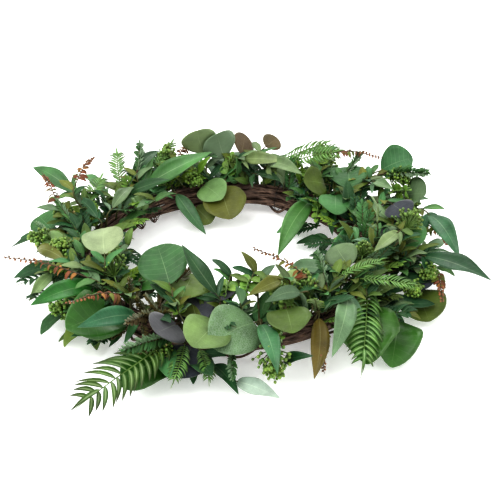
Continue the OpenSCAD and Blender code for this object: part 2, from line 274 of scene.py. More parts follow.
class Graph:
    """Short calls for making the nodes of one material or group."""

    def __init__(self, tree: bpy.types.NodeTree) -> None:
        """Keeps the tree that the nodes go into."""
        self.tree = tree

    def node(self, kind: str, **values: object) -> bpy.types.Node:
        """Adds a node.

        Args:
            kind: The node's type without its ShaderNode prefix.
            values: Properties, or input values whose name starts with in_ and an index.

        Returns:
            The new node.
        """
        made = self.tree.nodes.new("ShaderNode" + kind)
        for name, value in values.items():
            if name.startswith("in_"):
                self.feed(made.inputs[int(name[3:])], value)
            else:
                setattr(made, name, value)
        return made

    def feed(self, socket: Socket, value: object) -> None:
        """Links a socket to another, or sets its value."""
        if isinstance(value, Socket):
            self.tree.links.new(value, socket)
        else:
            socket.default_value = value

    def math(self, operation: str, first: object, second: object = 0.0) -> Socket:
        """Adds a Math node and gives its output."""
        return self.node("Math", operation=operation, in_0=first, in_1=second).outputs[0]

    def times(self, first: object, second: object) -> Socket:
        """Product of two values."""
        return self.math("MULTIPLY", first, second)

    def minus(self, first: object, second: object) -> Socket:
        """Difference of two values."""
        return self.math("SUBTRACT", first, second)

    def ramp(self, value: object, low: object, high: object, to_low: float = 0.0,
             to_high: float = 1.0) -> Socket:
        """Maps a value from one range to another, clamped."""
        made = self.node("MapRange", in_0=value, in_1=low, in_2=high, in_3=to_low, in_4=to_high)
        return made.outputs[0]

    def mix(self, share: object, first: object, second: object, blend: str = "MIX") -> Socket:
        """Mixes two colours."""
        made = self.tree.nodes.new("ShaderNodeMix")
        made.data_type = "RGBA"
        made.blend_type = blend
        self.feed(made.inputs[0], share)
        self.feed(made.inputs[6], first)
        self.feed(made.inputs[7], second)
        return made.outputs[2]

    def tint(self, colour: object, by: object) -> Socket:
        """A colour multiplied by another."""
        return self.mix(1.0, colour, by, "MULTIPLY")

    def noise(self, scale: float, detail: float = 2.0, vector: object = None) -> Socket:
        """Noise over the piece's own space."""
        place = vector or self.node("TexCoord").outputs["Object"]
        made = self.node("TexNoise", in_0=place)
        made.inputs["Scale"].default_value = scale
        made.inputs["Detail"].default_value = detail
        return made.outputs[0]

    def bump(self, shader: bpy.types.Node, height: object, strength: float, distance: float) -> None:
        """Gives a shader's surface fine relief."""
        made = self.node("Bump")
        made.inputs["Strength"].default_value = strength
        made.inputs["Distance"].default_value = distance
        self.feed(made.inputs["Height"], height)
        self.feed(shader.inputs["Normal"], made.outputs[0])


def blank_material(name: str) -> tuple[bpy.types.Material, Graph, bpy.types.Node]:
    """Makes a node material and gives it with its graph and its Principled shader."""
    material = bpy.data.materials.new(name)
    material.use_nodes = True
    return material, Graph(material.node_tree), material.node_tree.nodes["Principled BSDF"]


def new_group(name: str, inputs: dict[str, float], outputs: tuple[str, ...]) -> bpy.types.NodeTree:
    """Makes an empty shader group with float inputs, which have usual values, and float outputs."""
    tree = bpy.data.node_groups.new(name, "ShaderNodeTree")
    for label, value in inputs.items():
        socket = tree.interface.new_socket(label, in_out="INPUT", socket_type="NodeSocketFloat")
        socket.default_value = value
    for label in outputs:
        tree.interface.new_socket(label, in_out="OUTPUT", socket_type="NodeSocketFloat")
    return tree


def leaf_vein_group() -> bpy.types.NodeTree:
    """Midrib, side veins and margin of a leaf whose UV runs from stalk to tip and across."""
    tree = new_group("leaf_veins", {"Veins": 9.0, "Slant": 2.2, "Sharpness": 0.82, "Rib": 0.03},
                     ("Midrib", "Side veins", "Margin"))
    graph = Graph(tree)
    given = tree.nodes.new("NodeGroupInput").outputs
    result = tree.nodes.new("NodeGroupOutput").inputs
    place = graph.node("SeparateXYZ", in_0=graph.node("UVMap", uv_map="UVMap").outputs[0]).outputs
    off = graph.math("ABSOLUTE", graph.minus(place[1], 0.5))
    rib = graph.times(given["Rib"], graph.minus(1.15, place[0]))
    aside = graph.ramp(off, graph.times(rib, 0.3), rib)
    graph.feed(result["Midrib"], graph.minus(1.0, aside))
    phase = graph.minus(graph.times(place[0], given["Veins"]), graph.times(off, given["Slant"]))
    wave = graph.math("ABSOLUTE", graph.math("SINE", graph.times(phase, math.pi)))
    graph.feed(result["Side veins"], graph.ramp(graph.minus(1.0, wave), given["Sharpness"], 1.0))
    graph.feed(result["Margin"], graph.ramp(off, 0.455, 0.5))
    return tree


def mottle_group() -> bpy.types.NodeTree:
    """Slow and fine changes of brightness over a surface, both about one."""
    tree = new_group("mottle", {"Slow": 0.55, "Fine": 0.22}, ("Brightness",))
    graph = Graph(tree)
    given = tree.nodes.new("NodeGroupInput").outputs
    result = tree.nodes.new("NodeGroupOutput").inputs
    slow = graph.times(graph.minus(graph.noise(55.0, 3.0), 0.5), given["Slow"])
    fine = graph.times(graph.minus(graph.noise(900.0, 2.0), 0.5), given["Fine"])
    total = graph.math("ADD", graph.math("ADD", slow, fine), 0.5)
    graph.feed(result["Brightness"], graph.times(total, 2.0))
    return tree


@dataclass(frozen=True)
class LeafFinish:
    """Printed or moulded leaf surface.  The colour of each leaf is in the piece's shade attribute."""

    name: str
    veins: float = 9.0
    slant: float = 2.2
    vein_light: float = 0.35
    rib: float = 0.03
    roughness: float = 0.5
    sheen: float = 0.0
    paler: float = 0.0
    tip_dark: float = 0.0
    bump: float = 0.25

    def build(self, groups: dict[str, bpy.types.NodeTree]) -> bpy.types.Material:
        """Makes the material with the shared shader groups."""
        material, graph, shader = blank_material(self.name)
        shade = graph.node("Attribute", attribute_name="shade").outputs
        veins = graph.node("Group", node_tree=groups["veins"])
        veins.inputs["Veins"].default_value = self.veins
        veins.inputs["Slant"].default_value = self.slant
        veins.inputs["Rib"].default_value = self.rib
        mottle = graph.node("Group", node_tree=groups["mottle"]).outputs[0]
        bright = graph.node("CombineColor", in_0=mottle, in_1=mottle, in_2=mottle).outputs[0]
        colour = graph.tint(shade["Color"], bright)
        place = graph.node("SeparateXYZ", in_0=graph.node("UVMap", uv_map="UVMap").outputs[0]).outputs
        # Painted shade: the blade is darker on one side of a slanting line across it, mixed up to 35
        # percent towards a dimmer copy of its colour
        half = graph.ramp(graph.minus(place[1], graph.times(place[0], 0.25)), 0.2, 0.7)
        painted_shade = graph.tint(colour, (0.55, 0.62, 0.60, 1.0))
        colour = graph.mix(graph.times(half, 0.35), colour, painted_shade)
        if self.paler:
            colour = graph.mix(self.paler, colour, (0.42, 0.50, 0.38, 1.0))
        light = graph.mix(0.30, graph.tint(colour, (1.5, 1.5, 1.5, 1.0)), (0.50, 0.58, 0.36, 1.0))
        side = graph.times(veins.outputs["Side veins"], shade["Alpha"])
        colour = graph.mix(graph.times(side, self.vein_light), colour, light)
        rib = graph.times(veins.outputs["Midrib"], self.vein_light * 1.6)
        colour = graph.mix(rib, colour, light)
        colour = graph.mix(graph.times(veins.outputs["Margin"], 0.25), colour, light)
        net = graph.node("TexVoronoi", feature="DISTANCE_TO_EDGE",
                         in_0=graph.node("TexCoord").outputs["Object"])
        net.inputs["Scale"].default_value = 420.0
        lines = graph.ramp(net.outputs["Distance"], 0.0, 0.10, 1.0, 0.0)
        netted = graph.node("Attribute", attribute_name="net").outputs["Fac"]
        colour = graph.mix(graph.times(lines, netted), colour, (0.30, 0.38, 0.30, 1.0))
        if self.tip_dark:
            dark = graph.ramp(place[0], 0.55, 1.0, 0.0, self.tip_dark)
            colour = graph.mix(dark, colour, (0.030, 0.025, 0.012, 1.0))
        graph.feed(shader.inputs["Base Color"], colour)
        rough = graph.ramp(graph.noise(260.0), 0.3, 0.7, self.roughness - 0.07, self.roughness + 0.1)
        graph.feed(shader.inputs["Roughness"], rough)
        shader.inputs["Sheen Weight"].default_value = self.sheen
        shader.inputs["Specular IOR Level"].default_value = 0.5
        height = graph.math("ADD", graph.times(side, 0.6), graph.times(graph.noise(1400.0), 0.35))
        graph.bump(shader, height, self.bump, 0.4 * MM)
        return material


@dataclass(frozen=True)
class BarkFinish:
    """Dry vine bark with streaks that run round the ring."""

    name: str
    dark: tuple[float, float, float]
    light: tuple[float, float, float]
    streak: float = 0.012

    def build(self) -> bpy.types.Material:
        """Makes the material."""
        material, graph, shader = blank_material(self.name)
        place = graph.node("SeparateXYZ", in_0=graph.node("TexCoord").outputs["Object"]).outputs
        angle = graph.math("ARCTAN2", place[1], place[0])
        squares = graph.math("ADD", graph.times(place[0], place[0]), graph.times(place[1], place[1]))
        reach = graph.math("SQRT", squares)
        along = graph.times(angle, self.streak)
        polar = graph.node("CombineXYZ", in_0=along, in_1=reach, in_2=place[2]).outputs[0]
        streaks = graph.noise(900.0, 4.0, polar)
        patches = graph.noise(70.0, 3.0)
        share = graph.times(graph.ramp(streaks, 0.35, 0.7), graph.ramp(patches, 0.40, 0.65, 0.35, 1.0))
        graph.feed(shader.inputs["Base Color"], graph.mix(share, (*self.dark, 1.0), (*self.light, 1.0)))
        graph.feed(shader.inputs["Roughness"], graph.ramp(streaks, 0.3, 0.7, 0.65, 0.9))
        graph.bump(shader, streaks, 0.8, 0.6 * MM)
        return material


@dataclass(frozen=True)
class StemFinish:
    """Plastic-covered or metal wire with a fine grain."""

    name: str
    colour: tuple[float, float, float]
    other: tuple[float, float, float]
    roughness: float = 0.6
    metallic: float = 0.0

    def build(self) -> bpy.types.Material:
        """Makes the material."""
        material, graph, shader = blank_material(self.name)
        share = graph.ramp(graph.noise(120.0, 3.0), 0.35, 0.65)
        graph.feed(shader.inputs["Base Color"], graph.mix(share, (*self.colour, 1.0), (*self.other, 1.0)))
        fine = graph.noise(1500.0)
        rough = graph.ramp(fine, 0.3, 0.7, self.roughness - 0.1, self.roughness + 0.1)
        graph.feed(shader.inputs["Roughness"], rough)
        shader.inputs["Metallic"].default_value = self.metallic
        graph.bump(shader, fine, 0.3, 0.2 * MM)
        return material


@dataclass(frozen=True)
class BladeShape:
    """Outline and bend of one kind of leaf blade."""

    skew: float = 1.0
    full: float = 0.8
    arch: float = 0.08
    fold: float = 0.12
    ripple: float = 0.03
    sway: float = 0.03
    droop: float = 0.0
    twist: float = 0.25
    columns: int = 14
    across: int = 6
    thick: float = 0.5 * MM

    def half_width(self, t: float) -> float:
        """Half the width at a share of the length, for a blade one unit wide."""
        lobe = math.sin(math.pi * min(max(t, 0.003), 0.997) ** self.skew)
        return 0.5 * max(lobe, 0.0) ** self.full


class Side(Enum):
    """Places of the materials in every foliage piece."""

    TOP = 0
    UNDER = 1
    STEM = 2


class Tubes:
    """Round stems, vines and wires gathered in one curve."""

    def __init__(self, name: str, sides: int = 6) -> None:
        """Starts an empty curve whose tubes have the given number of sides."""
        self.curve = bpy.data.curves.new(name + "_curve", "CURVE")
        self.curve.dimensions = "3D"
        self.curve.bevel_depth = 1.0
        self.curve.bevel_resolution = max(0, sides // 2 - 2)
        self.curve.use_fill_caps = True

    def add(self, points: list[Vector], radii: list[float], closed: bool = False) -> None:
        """Adds one tube.

        Args:
            points: Its centre line.
            radii: Its radius at each point.
            closed: True for a ring.
        """
        spline = self.curve.splines.new("POLY")
        spline.points.add(len(points) - 1)
        spline.use_cyclic_u = closed
        spline.use_smooth = True
        for made, point, radius in zip(spline.points, points, radii):
            made.co = (*point, 1.0)
            made.radius = radius

    def mesh(self) -> bpy.types.Mesh | None:
        """Turns the curve into a mesh, or gives None if nothing was added."""
        made = None
        if self.curve.splines:
            holder = bpy.data.objects.new(self.curve.name, self.curve)
            bpy.context.collection.objects.link(holder)
            graph = bpy.context.evaluated_depsgraph_get()
            made = bpy.data.meshes.new_from_object(holder.evaluated_get(graph))
            bpy.data.objects.remove(holder)
        bpy.data.curves.remove(self.curve)
        return made


def sealed(mesh: bpy.types.Mesh) -> bmesh.types.BMesh:
    """Copies tubes with their caps joined on, faces outward and smooth."""
    part = bmesh.new()
    part.from_mesh(mesh)
    bmesh.ops.remove_doubles(part, verts=part.verts, dist=WELD)
    bmesh.ops.recalc_face_normals(part, faces=part.faces)
    for face in part.faces:
        face.smooth = True
    return part


def dress(name: str, mesh: bpy.types.Mesh, nodes: tuple[str, ...]) -> bpy.types.Object:
    """Makes a mesh a piece of the wreath in place of CAD nodes.

    Args:
        name: Name of the piece.
        mesh: Its finished mesh.
        nodes: The CAD nodes that it stands for.

    Returns:
        The piece.
    """
    piece = bpy.data.objects.new(name, mesh)
    mesh.name = name
    bpy.context.collection.objects.link(piece)
    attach(piece, "root")
    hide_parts(*nodes)
    LOG.info("%s: %d faces for %s", name, len(mesh.polygons), ", ".join(nodes))
    return piece


def hermite(start: Vector, leave: Vector, end: Vector, arrive: Vector, steps: int) -> list[Vector]:
    """Points on a smooth curve.

    Args:
        start: First point, with its direction and pull in leave.
        leave: See start.
        end: Last point, with its direction and pull in arrive.
        arrive: See end.
        steps: Number of pieces.

    Returns:
        The points, both ends among them.
    """
    points = []
    for i in range(steps + 1):
        t = i / steps
        u = 1.0 - t
        points.append(start * (u * u * u) + (start + leave) * (3 * u * u * t)
                      + (end - arrive) * (3 * u * t * t) + end * (t * t * t))
    return points


def taper(count: int, first: float, last: float) -> list[float]:
    """Radii that run evenly from first to last."""
    return [first + (last - first) * i / (count - 1) for i in range(count)]


class Foliage:
    """One piece made of blades, stems and berries, gathered in a single mesh."""

    def __init__(self, name: str, slot: str, materials: Materials) -> None:
        """Starts an empty piece with its upper, under and stem materials; its slot name is stored but not
        used.
        """
        self.name = name
        self.slot = slot
        self.materials = materials
        self.rng = random.Random(name)
        self.bm = self.blank()
        self.tubes = Tubes(name)

    @staticmethod
    def blank() -> bmesh.types.BMesh:
        """An empty mesh with the layers that every part of a piece has."""
        made = bmesh.new()
        made.loops.layers.uv.new("UVMap")
        made.verts.layers.float_color.new("shade")
        made.verts.layers.float.new("net")
        return made

    def gather(self, part: bmesh.types.BMesh) -> None:
        """Adds a finished part to the piece and frees it.  What dips under the table bends flat on it."""
        for vert in part.verts:
            if vert.co.z < REST_BAND:
                vert.co.z = REST_BAND * (0.3 + 0.7 * math.exp((vert.co.z / REST_BAND - 1.0) / 0.7))
        mesh = bpy.data.meshes.new("part")
        part.to_mesh(mesh)
        part.free()
        self.bm.from_mesh(mesh)
        bpy.data.meshes.remove(mesh)

    def blade(self, place: Matrix, length: float, width: float, shape: BladeShape,
              shade: Colour, net: float = 0.0, bend: float = 0.0) -> None:
        """Adds one leaf blade along the local X axis of a place.

        Args:
            place: The blade's frame, with its base at the origin.
            length: Length from base to tip.
            width: Greatest width.
            shape: Outline and bend.
            shade: Colour and vein strength.
            net: Strength of the pale network of veins.
            bend: Share of the length by which the tip is bent to one side.
        """
        rng = self.rng
        part = self.blank()
        uv = part.loops.layers.uv["UVMap"]
        colour = part.verts.layers.float_color["shade"]
        netting = part.verts.layers.float["net"]
        bmesh.ops.create_grid(part, x_segments=shape.columns, y_segments=shape.across, size=0.5)
        for vert in part.verts:
            vert.co.x = 0.5 - 0.5 * math.cos(math.pi * (vert.co.x + 0.5))
        for face in part.faces:
            for loop in face.loops:
                loop[uv].uv = (loop.vert.co.x, loop.vert.co.y + 0.5)
        arch = shape.arch * rng.uniform(0.5, 1.4) * length
        sway = shape.sway * rng.uniform(-1.0, 1.0) * length
        twist = shape.twist * rng.uniform(-1.0, 1.0)
        phase = rng.uniform(0.0, TURN)
        waves = rng.uniform(2.0, 3.2)
        for vert in part.verts:
            t, s = vert.co.x, vert.co.y * 2.0
            half = shape.half_width(t) * width
            bow = 4.0 * t * (1.0 - t)
            turn = twist * t
            y = s * half
            z = shape.fold * half * s * s
            z += shape.ripple * half * s * s * 2.0 * math.sin(waves * math.pi * t + phase + s)
            lift = arch * bow - shape.droop * length * t * t
            aside = sway * bow + bend * length * t * t
            vert.co = Vector((t * length, y * math.cos(turn) - z * math.sin(turn) + aside,
                              y * math.sin(turn) + z * math.cos(turn) + lift))
        bmesh.ops.solidify(part, geom=part.faces[:], thickness=shape.thick)
        bmesh.ops.recalc_face_normals(part, faces=part.faces[:])
        for face in part.faces:
            under = face.normal.z < 0.0
            face.material_index = Side.UNDER.value if under else Side.TOP.value
            face.smooth = True
        for vert in part.verts:
            vert[colour] = shade
            vert[netting] = net
        part.transform(place)
        self.gather(part)

    def berry(self, centre: Vector, axis: Vector, radius: float, shade: Colour) -> None:
        """Adds one berry, slightly longer along its stalk."""
        part = self.blank()
        colour = part.verts.layers.float_color["shade"]
        bmesh.ops.create_uvsphere(part, u_segments=8, v_segments=6, radius=radius)
        for face in part.faces:
            face.smooth = True
        for vert in part.verts:
            # Painted shade and highlight: each berry is darker towards its stalk and lighter towards its
            # free end
            tip = vert.co.z / radius
            vert[colour] = (*(c * (1.0 + 0.35 * tip) for c in shade[:3]), 0.0)
            vert.co.z *= 1.18
        turn = axis.to_track_quat("Z", "Y").to_matrix().to_4x4()
        part.transform(Matrix.Translation(centre) @ turn)
        self.gather(part)

    def stem(self, points: list[Vector], first: float, last: float) -> None:
        """Adds a round stem along points, tapered from one radius to another."""
        self.tubes.add(points, taper(len(points), first, last))

    def finish(self, *nodes: str) -> bpy.types.Object:
        """Turns what was gathered into the finished piece, which stands for the given CAD nodes."""
        stems = self.tubes.mesh()
        if stems is not None:
            part = sealed(stems)
            bpy.data.meshes.remove(stems)
            for face in part.faces:
                face.material_index = Side.STEM.value
            self.gather(part)
        mesh = bpy.data.meshes.new(self.name)
        self.bm.to_mesh(mesh)
        self.bm.free()
        for material in self.materials:
            mesh.materials.append(material)
        return dress(self.name, mesh, nodes)


@dataclass
class VineRing:
    """Twisted dry vines, a vine wrapped round them and curled tendrils."""

    ring: Ring
    bark: bpy.types.Material
    wrap_bark: bpy.types.Material
    strands: int = 46
    steps: int = 170

    def centre_line(self, rng: random.Random, share: float, thick: float) -> list[Vector]:
        """One closed strand that winds slowly round the middle of the bundle.

        Args:
            rng: Random numbers of the ring.
            share: Depth of the strand, from 0 in the middle to 1 at the outside.
            thick: Greatest radius of the strand.

        Returns:
            Points round the ring.
        """
        reach = (self.ring.bundle - thick) * share
        phase = rng.uniform(0.0, TURN)
        turns = rng.choice((-2, -1, 1, 2, 3))
        waves = [(rng.randint(3, 11), rng.uniform(0.0, 6.28), rng.uniform(0.04, 0.10)) for _ in range(3)]
        points = []
        for i in range(self.steps):
            angle = TURN * i / self.steps
            wobble = sum(size * math.sin(count * angle + lag) for count, lag, size in waves)
            side = phase + turns * angle + 2.0 * wobble
            off = reach * (0.96 - 0.75 * abs(wobble))
            points.append(self.ring.at(angle, off * math.cos(side), off * math.sin(side)))
        return points

    def vines(self) -> bpy.types.Object:
        """The bundle itself."""
        rng = random.Random("vines")
        tubes = Tubes("vine_bundle", 8)
        for i in range(self.strands):
            share = math.sqrt((i + 0.5) / self.strands)
            thick = rng.uniform(1.2, 2.7) * MM
            points = self.centre_line(rng, share, thick)
            knots = rng.randint(7, 13)
            lag = rng.uniform(0.0, 6.28)
            radii = []
            for k in range(len(points)):
                swell = 0.5 + 0.5 * math.sin(knots * TURN * k / len(points) + lag)
                radii.append(thick * (0.80 + 0.20 * swell ** 6))
            tubes.add(points, radii, closed=True)
        return self.piece("vine_bundle", tubes, self.bark, "core_vines", "outer_vines")

    def wrap(self, turns: int = 9) -> bpy.types.Object:
        """The vine wound round the bundle."""
        tubes = Tubes("wrap_vine", 8)
        thick = 1.8 * MM
        reach = self.ring.bundle + thick + 0.3 * MM
        steps = 720
        points = []
        for i in range(steps):
            angle = TURN * i / steps
            side = turns * angle
            points.append(self.ring.at(angle, reach * math.cos(side), reach * math.sin(side)))
        radii = [thick * (0.85 + 0.15 * math.sin(23.0 * i / steps * TURN)) for i in range(steps)]
        tubes.add(points, radii, closed=True)
        return self.piece("wrap_vine", tubes, self.wrap_bark, "wrap_vines")

    def tendrils(self, reader: FrameReader) -> bpy.types.Object:
        """Curled tendrils that stand off the bundle where the CAD has its hoops."""
        tubes = Tubes("tendrils_curled")
        for points in reader.islands("tendrils"):
            middle = Vector((points.max(0) + points.min(0)) / 2.0)
            out = Vector((middle.x, middle.y, 0.0)).normalized()
            if middle.xy.length < self.ring.radius:
                out.negate()
            root = middle - out * 12.0 * MM
            line = []
            for i in range(46):
                t = i / 45
                coil = 2.2 * TURN * t
                reach = 6.5 * MM * (1.0 - 0.55 * t)
                step = out * (reach * math.cos(coil)) + UP * (reach * math.sin(coil))
                side = UP.cross(out) * (9.0 * MM * (t - 0.5))
                line.append(middle + step + side)
            line = hermite(root, out * 5.0 * MM, line[0], UP * 4.0 * MM, 6)[:-1] + line
            tubes.add(line, taper(len(line), 1.0 * MM, 0.35 * MM))
        return self.piece("tendrils_curled", tubes, self.wrap_bark, "tendrils")

    @staticmethod
    def piece(name: str, tubes: Tubes, material: bpy.types.Material, *nodes: str) -> bpy.types.Object:
        """Turns tubes into a piece with outward faces."""
        mesh = tubes.mesh()
        mesh.materials.append(material)
        part = sealed(mesh)
        part.to_mesh(mesh)
        part.free()
        return dress(name, mesh, nodes)


@dataclass(frozen=True)
class LeafKind:
    """One family of single leaves: its shape, its colours round the ring and its small leaves."""

    name: str
    slot: str
    shape: BladeShape
    usual: tuple[Shade, ...]
    looks: dict[Shade, tuple[int, ...]]
    netted: tuple[int, ...] = ()
    small_leaves: int = 0
    small_scale: float = 0.5
    fan: float = 0.0

    def shade_at(self, clock: float, rng: random.Random) -> Shade:
        """The colour chosen for the leaf nearest to a clock angle."""
        found = [(abs((clock - mark + 180.0) % 360.0 - 180.0), shade)
                 for shade, marks in self.looks.items() for mark in marks]
        gap, nearest = min(found, key=lambda pair: pair[0], default=(1.0, None))
        return nearest if gap < 1.0 else rng.choice(self.usual)


def is_bare(point: Vector) -> bool:
    """True where the vines stay in sight: inside the ring at the back, outside it at the front."""
    clock = math.degrees(math.atan2(point.y, point.x)) % 360.0
    reach = point.xy.length
    if reach < BARE_REACH:
        return 62.0 < clock < 138.0
    return 264.0 < clock < 306.0 and reach > BARE_REACH


@dataclass
class LeafSpray:
    """All single leaves of one family in one sector of the wreath."""

    kind: LeafKind
    sector: str
    materials: Materials

    def build(self, places: list[Placement]) -> bpy.types.Object:
        """Makes the leaves on their CAD places.

        Args:
            places: The plates of the CAD node.

        Returns:
            The finished piece.
        """
        node = f"{self.kind.name}_{self.sector}"
        piece = Foliage(node + "_leaves", self.kind.slot, self.materials)
        for place in places:
            self.leaf(piece, place)
        return piece.finish(node)

    def leaf(self, piece: Foliage, place: Placement) -> None:
        """Adds one leaf with its stalk and small companions."""
        rng, kind = piece.rng, self.kind
        shade = kind.shade_at(place.clock, rng)
        frame_of = place.matrix()
        start = frame_of @ slide(STALK)
        net = 0.4 if any(abs(place.clock - mark) < 1.0 for mark in kind.netted) else 0.0
        length = place.length - STALK
        piece.blade(start, length, place.width, kind.shape, shade.vary(rng, 0.20), net)
        piece.stem([frame_of @ Vector((x, 0.0, 0.0)) for x in (0.0, STALK * 0.6, STALK * 1.4)],
                   0.9 * MM, 0.6 * MM)
        for i in range(0 if is_bare(place.base) else kind.small_leaves):
            side = 1.0 if i % 2 == 0 else -1.0
            scale = kind.small_scale * rng.uniform(0.8, 1.15)
            spread = side * (kind.fan + rng.uniform(-0.2, 0.2))
            turn = spin(spread, "Z") @ spin(rng.uniform(0.0, 0.45), "Y")
            small = frame_of @ slide(STALK * (0.2 + 0.25 * i)) @ turn @ spin(rng.uniform(-0.5, 0.5), "X")
            piece.blade(small, length * scale, place.width * scale, kind.shape, shade.vary(rng, 0.2))


@dataclass(frozen=True)
class FrondKind:
    """A rib with leaflets or needles in pairs."""

    name: str
    slot: str
    pairs: int
    leaflet: BladeShape
    lean: float
    reach: float
    wide: float
    rows: int
    usual: Shade
    looks: dict[int, Shade]
    start: float = 0.08
    stop: float = 0.97
    tail: float = 0.05
    sickle: float = 0.0
    curl: float = 0.0


@dataclass
class FrondSpray:
    """All fern fronds or rosemary sprigs of one sector."""

    kind: FrondKind
    sector: str
    materials: Materials

    def build(self, places: list[Placement]) -> bpy.types.Object:
        """Makes the fronds on their CAD places."""
        node = f"{self.kind.name}_{self.sector}"
        piece = Foliage(node + "_fronds", self.kind.slot, self.materials)
        for place in places:
            self.frond(piece, place)
        return piece.finish(node)

    def frond(self, piece: Foliage, place: Placement, shade: Shade | None = None) -> None:
        """Adds one frond: its rib, and leaflets that shorten towards both ends."""
        kind, rng = self.kind, piece.rng
        frame_of, length = place.matrix(), place.length
        usual = shade or kind.usual
        for mark, look in kind.looks.items():
            if abs(place.clock - mark) < 1.5:
                usual = look
        arch = rng.uniform(0.03, 0.07) * length
        sway = rng.uniform(-0.03, 0.03) * length

        def rib(t: float) -> Vector:
            """Point of the rib at a share of its length."""
            drop = kind.curl * length * max(t - 0.6, 0.0) ** 2
            return Vector((t * length, sway * 4.0 * t * (1.0 - t), arch * 4.0 * t * (1.0 - t) - drop))

        steps = 12
        piece.stem([frame_of @ rib(i / steps) for i in range(steps + 1)], 0.9 * MM, 0.3 * MM)
        flat = kind.rows == 2
        loose = 0.15 if flat else 0.5
        for i in range(kind.pairs):
            t = kind.start + (kind.stop - kind.start) * i / kind.pairs
            profile = math.sin(math.pi * (0.16 + 0.74 * i / kind.pairs)) ** 0.7
            along = (rib(t + 0.02) - rib(t - 0.02)).normalized()
            turn = spin(math.atan2(along.y, along.x), "Z") @ spin(math.atan2(-along.z, along.x), "Y")
            for row in range(kind.rows):
                roll = TURN * row / kind.rows + rng.uniform(-loose, loose)
                side = 1.0 - 2.0 * row if flat else 0.0
                if flat:
                    lean = spin(side * (kind.lean + rng.uniform(-0.08, 0.08)), "Z")
                    lean = spin(rng.uniform(-0.12, 0.12), "X") @ lean
                else:
                    lean = spin(roll, "X") @ spin(kind.lean + rng.uniform(-0.15, 0.15), "Z")
                at = Matrix.Translation(rib(t + 0.2 / kind.pairs * (row % 2)))
                size = kind.reach * place.width * profile * rng.uniform(0.88, 1.08)
                piece.blade(frame_of @ at @ turn @ lean, size, kind.wide * place.width,
                            kind.leaflet, usual.vary(rng, 0.15), bend=-side * kind.sickle)
        end = Matrix.Translation(rib(1.0 - kind.tail))
        piece.blade(frame_of @ end, kind.tail * length, kind.wide * place.width, kind.leaflet,
                    usual.vary(rng, 0.1))


